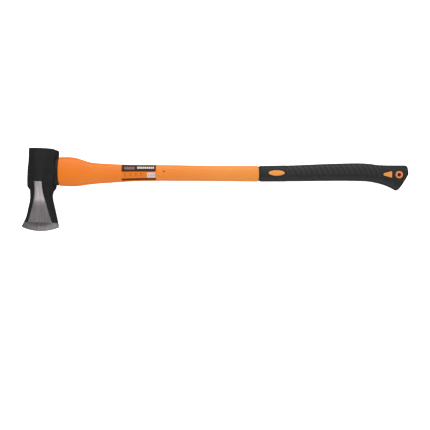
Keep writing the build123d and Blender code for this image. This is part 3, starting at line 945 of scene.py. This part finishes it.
def grip_rings(plain=False):
    """Points of the grip's skin, its relief left off if plain, and how raised each is."""
    along, across = unit_oval(GRIP_FRACTIONS, 40.0, 31.0)
    share = (1 + along) / 2
    start = LIP_X
    lead = np.concatenate((start + LIP_ROUND + np.arange(0.0, 60.0, 1.4), [TEXTURE_X[0] - 2.2]))
    lead = lead[lead < TEXTURE_X[0] - 1.5]
    textured = np.arange(TEXTURE_X[0] - 1.4, TEXTURE_X[1] + 1.4, 0.48)
    finish = end_runs(share)
    runs, insets = [], []
    for d, inset in quarter(LIP_ROUND, 6)[:-1]:
        runs.append(np.full(share.shape, start + d))
        insets.append(inset)
    for t in list(lead) + list(textured):
        runs.append(np.full(share.shape, t))
        insets.append(0.0)
    # the middle run where the rows start to turn from the sections to the end's own line
    turn = textured[-1]
    rim = quarter(BUTT_ROUND, 9)[::-1]
    last = finish - BUTT_ROUND
    tail = np.linspace(0, 1, 46)[1:]
    for s in tail:
        runs.append(turn + (last - turn) * s)
        insets.append(0.0)
    for d, inset in rim[1:]:
        runs.append(finish - d)
        insets.append(inset)
    runs, insets = np.array(runs), np.array(insets)
    tx, ty, bx, by, thickness = (c.reshape(runs.shape) for c in cubic(GRIP_TABLE, runs.ravel()).T)
    up_x, up_y = tx - bx, ty - by
    height = np.hypot(up_x, up_y)
    up_x, up_y = up_x / height, up_y / height
    x = bx + (tx - bx) * share
    girth = np.minimum(GRIP_FRACTIONS, 1 - GRIP_FRACTIONS)[None, :] * 110.0
    relief, raised = grip_pattern(x, girth, share[None, :])
    if plain:
        relief = relief * 0
    half, thick = height / 2 - insets[:, None], thickness / 2 - insets[:, None]
    n_along, n_across = oval_normal(along[None, :], across[None, :], half, thick)
    out_along = along * half + relief * n_along
    out_across = across * thick + relief * n_across
    mid_x, mid_y = (tx + bx) / 2, (ty + by) / 2
    points = np.stack((
        mid_x + up_x * out_along, HANDLE_Y + mid_y + up_y * out_along, MID_Z + out_across), -1)
    seam = np.minimum(GRIP_FRACTIONS, 1 - GRIP_FRACTIONS) < 1e-6
    seam |= np.abs(GRIP_FRACTIONS - 0.5) < 1e-6
    lift = np.where(seam, 0.12, 0.0)[None, :] * (insets[:, None] < 0.1) * np.sign(along)
    points[:, :, 0] += up_x * lift
    points[:, :, 1] += up_y * lift
    # near the end the rows follow its outline, so that its rim is rounded evenly
    rise = points[:, :, 1] - HANDLE_Y
    depth = np.maximum(finish[None, :] - runs, 0.0)
    tilt = 1 + (math.hypot(1, BUTT_SLOPE) - 1) * ease(BUTT_CORNER_RISE + 3, BUTT_CORNER_RISE - 3, rise)
    weight = ease(BUTT_ROUND + 6.0, BUTT_ROUND + 0.5, depth)
    points[:, :, 0] += weight * (butt_limit(rise) - depth * tilt - points[:, :, 0])
    return points, raised


def build_grip():
    points, raised = grip_rings()
    rows, columns = points.shape[:2]
    # a collar a little below the skin closes the seam against the shaft's end; its darker seal rubber is
    # painted shade in the seam
    start = points[0]
    centre = start.mean(axis=0)
    away = np.linalg.norm(start - centre, axis=1)[:, None]
    inner = centre + (start - centre) * (1 - 3.0 / away)
    inner[:, 0] = COLLAR_X
    back = centre + (start - centre) * (1 - COLLAR_SINK / away)
    back[:, 0] = COLLAR_X
    front = back.copy()
    front[:, 0] = LIP_X
    all_points = np.vstack((inner, back, front, points.reshape(-1, 3)))
    faces = grid_faces(rows + 3, columns)
    slots = [1] * (3 * columns) + [0] * (len(faces) - 3 * columns) + [1]
    faces.append(tuple(range(columns)))

    # end face: straight bars between the two sides of the last ring
    last = (rows + 2) * columns
    half = columns // 2
    bars = 14
    base = len(all_points)
    grid = []
    for k in range(half + 1):
        a = all_points[last + k]
        b = all_points[last + (columns - k) % columns]
        grid.append([a + (b - a) * m / bars for m in range(bars + 1)])
    grid = np.array(grid)
    all_points = np.vstack((all_points, grid.reshape(-1, 3)))
    faces += grid_faces(half + 1, bars + 1, base, closed=False)
    slots += [0] * (len(faces) - len(slots))
    mesh = make_mesh("grip_sleeve", [(all_points, faces)], 40.0, True, slots)
    piece = add_piece("rubber_grip", mesh, "grip_sleeve", [RUBBER, SEAL_RUBBER_AND_SEAM_SHADE])
    tops = np.concatenate((np.zeros(3 * columns), raised.ravel(), np.zeros(grid.shape[0] * grid.shape[1])))
    store_raised(mesh, all_points, tops)
    holes = [prism("bush_hole", circle(*RING_AT, RING_RADIUS - 0.8, 64), 10.0, 54.0)]
    for low, high in ((10.0, MID_Z - 11.5), (MID_Z + 11.5, 54.0)):
        oval = ellipse(*OVAL_AT, OVAL_SIZE[0] + 2 * GROOVE, OVAL_SIZE[1] + 2 * GROOVE)
        holes.append(prism("oval_hole", oval, low, high))
        holes.append(prism("taper_hole", rounded(grown(TAPER, GROOVE), 1.9), low, high))
        holes.append(prism("ring_hole", circle(*RING_AT, RING_RADIUS + GROOVE, 64), low, high))
    cut(piece, holes)


def grown(corners, by):
    """Corners of a window moved outwards so that its sides move by about the amount."""
    corners = np.array(corners)
    centre = corners.mean(axis=0)
    away = np.linalg.norm(corners - centre, axis=1)[:, None]
    return centre + (corners - centre) * (1 + 1.35 * by / away)


def store_raised(mesh, points, values):
    """Keeps a value for each vertex, matched by place because doubles were removed."""
    lookup = {tuple(np.round(p * MM * 1e5).astype(int)): v for p, v in zip(points, values)}
    keys = np.round(vertex_places(mesh) * 1e5).astype(int)
    keep_values(mesh, "raised", [lookup.get(tuple(k), 0.0) for k in keys])


build_grip()


def surface_finder():
    """Tree of the grip's plain skin, for the height of what is set into it."""
    points, _ = grip_rings(plain=True)
    rows, columns = points.shape[:2]
    return BVHTree.FromPolygons([tuple(p) for p in points.reshape(-1, 3)], grid_faces(rows, columns))


SKIN = surface_finder()


def skin_height(x, y):
    hit = SKIN.ray_cast(Vector((x, y, 80.0)), Vector((0, 0, -1)))
    return (hit[0].z if hit[0] else 48.0) - MID_Z


def build_inset(name, outline, crown, edge=1.1, sink=0.15):
    """An orange window on both sides: crowned, with a rounded edge, standing in the grip."""
    centre = outline.mean(axis=0)
    reach = np.linalg.norm(outline - centre, axis=1).min()
    steps = [(s, 0.0) for s in np.linspace(0.0, 1 - edge / reach, 9)[1:]]
    for k in range(1, 7):
        a = math.pi / 2 * k / 6
        steps.append((1 - edge / reach * (1 - math.sin(a)), edge * (1 - math.cos(a))))
    steps.append((1.0, 4.0))
    rows, count = len(steps), len(outline)
    parts = []
    for side in (1, -1):
        rings = []
        for share, drop in steps:
            ring = centre + (outline - centre) * share
            z = [skin_height(x, y) - sink - drop + crown * (1 - share ** 2) for x, y in ring]
            rings.append(np.column_stack((ring, MID_Z + side * np.array(z))))
        top = (*centre, MID_Z + side * (skin_height(*centre) - sink + crown))
        points = np.vstack((np.array(rings).reshape(-1, 3), [top]))
        faces = grid_faces(rows, count)
        faces += [(len(points) - 1, j, (j + 1) % count) for j in range(count)]
        parts.append((points, faces))
    # the rounded rim of each window takes the paler orange: a painted highlight
    rim_highlight_slots = [1 if 7 <= i < rows - 2 else 0 for i in range(rows - 1) for _ in range(count)] + [0] * count
    mesh = make_mesh(name, parts, 50.0, True, rim_highlight_slots * 2)
    add_piece(name, mesh, "handle_jacket", [ORANGE, RIM_PAINTED_HIGHLIGHT])


def build_hang_ring():
    """The orange bush through the butt: a rounded collar on each side and its bore."""
    height = skin_height(RING_AT[0], HANDLE_Y + RING_AT[1] + 7.0) + 0.1
    count = 64
    profile = [(HOLE_RADIUS, height - 1.6)]
    for k in range(7):
        a = math.pi / 2 * k / 6
        profile.append((HOLE_RADIUS + 1.5 * (1 - math.cos(a)), height - 1.5 + 1.5 * math.sin(a)))
    profile.append(((HOLE_RADIUS + RING_RADIUS) / 2, height + 0.12))
    for k in range(7):
        a = math.pi / 2 * k / 6
        profile.append((RING_RADIUS - 1.2 + 1.2 * math.sin(a), height - 1.2 * (1 - math.cos(a))))
    profile.append((RING_RADIUS, height - 3.5))
    loop = [(r, MID_Z + h) for r, h in profile] + [(r, MID_Z - h) for r, h in profile[::-1]]
    # the bore takes the dark red orange: painted shade inside the hole
    slots = [1 if max(loop[i][0], loop[(i + 1) % len(loop)][0]) < HOLE_RADIUS + 1.0 else 0
             for i in range(len(loop)) for _ in range(count)]
    rings = []
    for radius, z in loop + loop[:1]:
        outline = circle(*RING_AT, radius, count)
        rings.append(np.column_stack((outline, np.full(count, z))))
    mesh = make_mesh("hang_bush", [(np.array(rings), grid_faces(len(rings), count))], 50.0, True, slots)
    # the bush's collar takes the darker copy of the orange: painted shade
    add_piece("hang_bush", mesh, "handle_jacket", [RING_PLASTIC_PAINTED_SHADE, BORE_PAINTED_SHADE])


build_inset("oval_window", ellipse(*OVAL_AT, *OVAL_SIZE), 0.45, 1.6)
build_inset("taper_window", rounded(TAPER, 1.5), 0.25, 0.9)
build_hang_ring()

# ---------------------------------------------------------------- seal and resin

SEAL_COLUMNS = 88
SEAL_FRACTIONS = np.linspace(0, 1, SEAL_COLUMNS, endpoint=False)
# share of the way from the head to the shoulder, and growth. The first two lie hidden in the head
SEAL_PROFILE = (
    (-0.7, -4.0), (-0.7, 0.3), (0.0, 0.0), (0.05, -0.35), (0.15, 0.0), (0.35, 0.25), (0.5, 0.32),
    (0.65, 0.25), (0.85, 0.0), (0.95, -0.35), (1.0, -0.9), (1.0, -4.0),
)
RESIN_RINGS = 12


def build_seal():
    """Rubber ring between the head's leaning face and the shoulder."""
    along, across = unit_oval(SEAL_FRACTIONS, *SEAL_SIZE)
    rings = []
    for share, grow in SEAL_PROFILE:
        y = SEAL_RISE + along * (SEAL_SIZE[0] / 2 + grow)
        face_x = HEAD_X + NEAR_U * math.cos(HANG) + (y + NEAR_U * math.sin(HANG)) * math.tan(HANG)
        x = face_x + (SHOULDER_X - face_x) * share
        rings.append(np.stack((x, HANDLE_Y + y, MID_Z + across * (SEAL_SIZE[1] / 2 + grow)), -1))
    faces = grid_faces(len(rings), SEAL_COLUMNS)
    mesh = make_mesh("shoulder_seal", [(np.array(rings), faces)], 60.0)
    add_piece("shoulder_seal", mesh, "eye_seal", [SEAL_RUBBER_AND_SEAM_SHADE])


def build_resin():
    """Cast surface round the tongue's end, which sags between the tongue and the eye."""
    along, across = unit_oval(SEAL_FRACTIONS, *EYE_SIZE)
    outer = head_place(np.full(SEAL_COLUMNS, -28.0), along * 30.9, across * 14.4)
    inner = flat_ring(TONGUE_X + 0.7, *TONGUE_SIZE, SEAL_FRACTIONS)
    rings = []
    for share in np.linspace(0, 1, RESIN_RINGS):
        ring = inner + (outer - inner) * share
        ring[:, 0] += 0.9 * 4 * share * (1 - share)
        rings.append(ring)
    mesh = make_mesh("cast_resin", [(np.array(rings), grid_faces(RESIN_RINGS, SEAL_COLUMNS))], outward=False)
    add_piece("cast_resin", mesh, "eye_resin", [RESIN])


build_seal()
build_resin()

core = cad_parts["fibreglass_core"]
core.data.materials.clear()
core.data.materials.append(FIBRE)

# ---------------------------------------------------------------- label

INK_ORDER = ("black", "white", "orange", "brown", "grey", "rust")
# x from the label's head end and distance down from the top line round the shaft: (ink, x0, x1, g0, g1)
LABEL_PRINT = [("orange", 0.0, 79.1, 0.0, 52.0), ("black", 0.0, 79.1, 7.0, 24.0)]
LABEL_PRINT += [("brown", 0.0, 79.1, 38.5, 44.0), ("white", 59.0, 77.5, 26.5, 37.5)]
LABEL_PRINT += [("grey", 7.0 + 2.6 * k, 8.6 + 2.6 * k, 12.5 + 2.0 * (k % 2), 19.0) for k in range(9)]
LABEL_PRINT += [("white", 36.0 + 4.4 * k, 39.4 + 4.4 * k, 12.5, 17.5) for k in range(9)]
LABEL_PRINT += [("grey", 61.0 + 2.4 * k, 62.0 + 2.4 * k, 28.5, 35.5) for k in range(7)]
LABEL_PRINT += [("rust", 5.0 + 12.5 * k, 11.0 + 12.5 * k, 27.0, 28.6) for k in range(4)]
LABEL_PRINT += [("rust", 6.5 + 12.5 * k, 9.0 + 12.5 * k, 30.4, 34.0) for k in range(4)]


def filled(lines, step):
    """The lines' places in order, with even places between them no further apart than the step."""
    lines = sorted(lines)
    places = []
    for a, b in zip(lines, lines[1:]):
        parts = max(1, int(math.ceil((b - a) / step)))
        places += [a + (b - a) * k / parts for k in range(parts)]
    return np.array(places + [lines[-1]])


def build_label():
    """Printed film round the shaft, a grid whose lines lie on the edges of the inks."""
    length = LABEL_X[1] - LABEL_X[0]
    girth = 104.0
    lines_x = {0.0, length}
    lines_g = {0.5, girth / 2 - 1.0}
    for _, x0, x1, g0, g1 in LABEL_PRINT:
        lines_x |= {x0, x1}
        lines_g |= {max(g0, 0.5), min(g1, girth / 2 - 1.0)}
    xs = filled(lines_x, 3.0)
    half = filled(lines_g, 1.2)
    distances = np.concatenate((-half[::-1], [0.0], half))
    fractions = np.mod(distances / girth, 1.0)
    points = [shaft_rings(LABEL_X[0] + xs, np.zeros(len(xs)), fractions, lift) for lift in (0.28, 0.0)]
    rows, columns = points[0].shape[:2]
    faces = grid_faces(rows, columns, closed=False)
    slots = []
    for i in range(rows - 1):
        for j in range(columns - 1):
            x = (xs[i] + xs[i + 1]) / 2
            g = abs(distances[j] + distances[j + 1]) / 2
            ink = "black"
            for name, x0, x1, g0, g1 in LABEL_PRINT:
                if x0 <= x <= x1 and g0 <= g <= g1:
                    ink = name
            slots.append(INK_ORDER.index(ink))
    base = rows * columns
    border = [i * columns for i in range(rows)] + [(rows - 1) * columns + j for j in range(1, columns)]
    border += [i * columns + columns - 1 for i in range(rows - 2, -1, -1)] + list(range(columns - 2, 0, -1))
    for a, b in zip(border, border[1:] + border[:1]):
        faces.append((a, b, base + b, base + a))
        slots.append(INK_ORDER.index("white"))
    mesh = make_mesh(
        "label_wrap", [(np.concatenate([p.reshape(-1, 3) for p in points]), faces)], 35.0, True, slots)
    add_piece("label_wrap", mesh, "label", [INKS[name] for name in INK_ORDER])


build_label()

# ---------------------------------------------------------------- floor, light and camera


BUTT_CLEARANCE = 15.2  # the butt's underside above the head's, and how far apart they are
REST_SPAN = 843.0
CAMERA_HEIGHT = 1170.0
VIEW_WIDTH = 1004.05


def stage_floor():
    """Pale floor that the tool's cheek and butt both rest on."""
    tilt = math.atan2(BUTT_CLEARANCE, REST_SPAN)
    bpy.ops.mesh.primitive_grid_add(size=24.0, x_subdivisions=8, y_subdivisions=8)
    floor = bpy.context.object
    floor.name = "floor"
    floor.rotation_euler = (0.0, -tilt, 0.0)
    floor.location = (0.0, 0.0, -math.tan(tilt) * HEAD_X * MM - 0.0003)
    n = Nodes("floor")
    n.finish((0.9, 0.9, 0.9), 0.9)
    n.shader.inputs["Emission Color"].default_value = (1, 1, 1, 1)
    n.shader.inputs["Emission Strength"].default_value = 1.0
    floor.data.materials.append(n.material)
    floor.visible_diffuse = False
    floor.visible_glossy = False


def soft_light(name, place, size, power, target=(0.0, 0.0, 0.03)):
    light = bpy.data.lights.new(name, "AREA")
    light.shape = "RECTANGLE"
    light.size, light.size_y = size
    light.energy = power
    lamp = linked(name, light)
    lamp.location = place
    lamp.rotation_euler = (Vector(target) - Vector(place)).to_track_quat("-Z", "Y").to_euler()


stage_floor()
soft_light("key", (-0.15, 1.75, 1.0), (2.4, 0.8), 31.5)
soft_light("fill", (-0.35, -1.5, 1.25), (1.8, 0.5), 11.5)
soft_light("high", (0.0, 0.8, 2.0), (2.4, 0.6), 14.0)
soft_light("low", (0.1, -2.2, 0.45), (2.6, 0.6), 19.5)

world = bpy.data.worlds.new("studio")
bpy.context.scene.world = world
world.use_nodes = True
background = world.node_tree.nodes["Background"]
background.inputs["Color"].default_value = (1, 1, 1, 1)
background.inputs["Strength"].default_value = 0.26

bpy.context.scene.view_settings.view_transform = "Standard"
camera = bpy.data.cameras.new("camera")
camera.sensor_width = 36.0
camera.lens = camera.sensor_width * CAMERA_HEIGHT / VIEW_WIDTH
eye = linked("camera", camera)
eye.location = (0.0015, -0.0585, (MID_Z + CAMERA_HEIGHT) * MM)
bpy.context.scene.camera = eye
